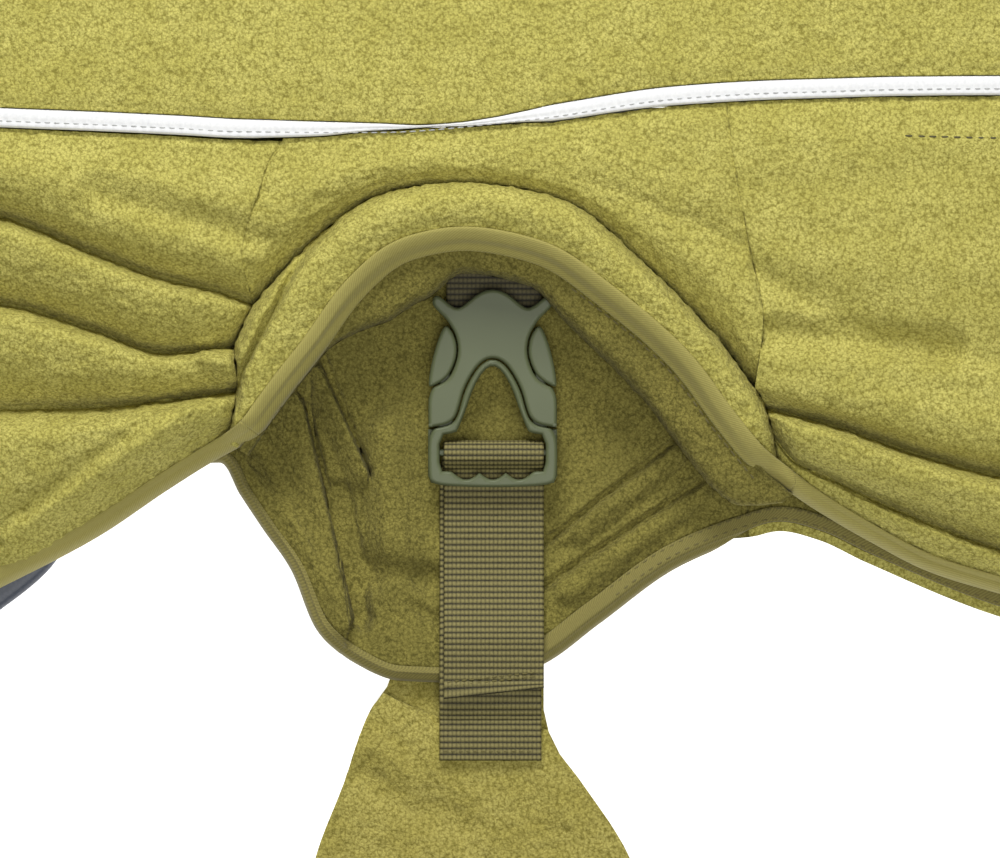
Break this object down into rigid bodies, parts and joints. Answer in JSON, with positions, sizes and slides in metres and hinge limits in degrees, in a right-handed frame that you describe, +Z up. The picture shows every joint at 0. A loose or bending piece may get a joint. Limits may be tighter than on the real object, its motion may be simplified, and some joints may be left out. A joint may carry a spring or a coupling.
{
  "type": "dog winter coat lying on its side",
  "caption": "Fleece dog coat lying flat on its side, with a rolled belly arch, reflective piping, bound edges, belly band and a buckled webbing strap.",
  "frame": {"origin": "middle of the coat's footprint on the surface it lies on", "axes": "+X from neck to hem, +Y towards the spine fold, +Z up from the surface"},
  "size_m": [0.46, 0.315, 0.031],
  "materials": {
    "fleece": "napped double fleece",
    "lining": "napped fleece, inner side",
    "reflective_tape": "satin",
    "knit_binding": "fine ribbed knit",
    "shell_cloth": "smooth woven",
    "webbing": "ribbed woven",
    "buckle_plastic": "satin moulded"
  },
  "bodies": {
    "root": {"back_panel": "fleece", "near_front_panel": "fleece", "near_middle_panel": "fleece", "near_rear_panel": "fleece", "arch_roll": "fleece", "arch_lining": "lining", "far_front_panel": "lining", "far_middle_panel": "lining", "far_rear_panel": "lining", "near_piping": "reflective_tape", "far_piping": "reflective_tape", "near_front_binding": "knit_binding", "arch_binding": "knit_binding", "near_rear_binding": "knit_binding", "far_lower_binding": "knit_binding", "neck_binding": "knit_binding", "hem_binding": "knit_binding", "chest_panel": "shell_cloth", "belly_band": "fleece", "strap": "webbing", "buckle_webbing": "webbing", "buckle_male": "buckle_plastic", "buckle_female": "buckle_plastic"}
  },
  "joints": []
}
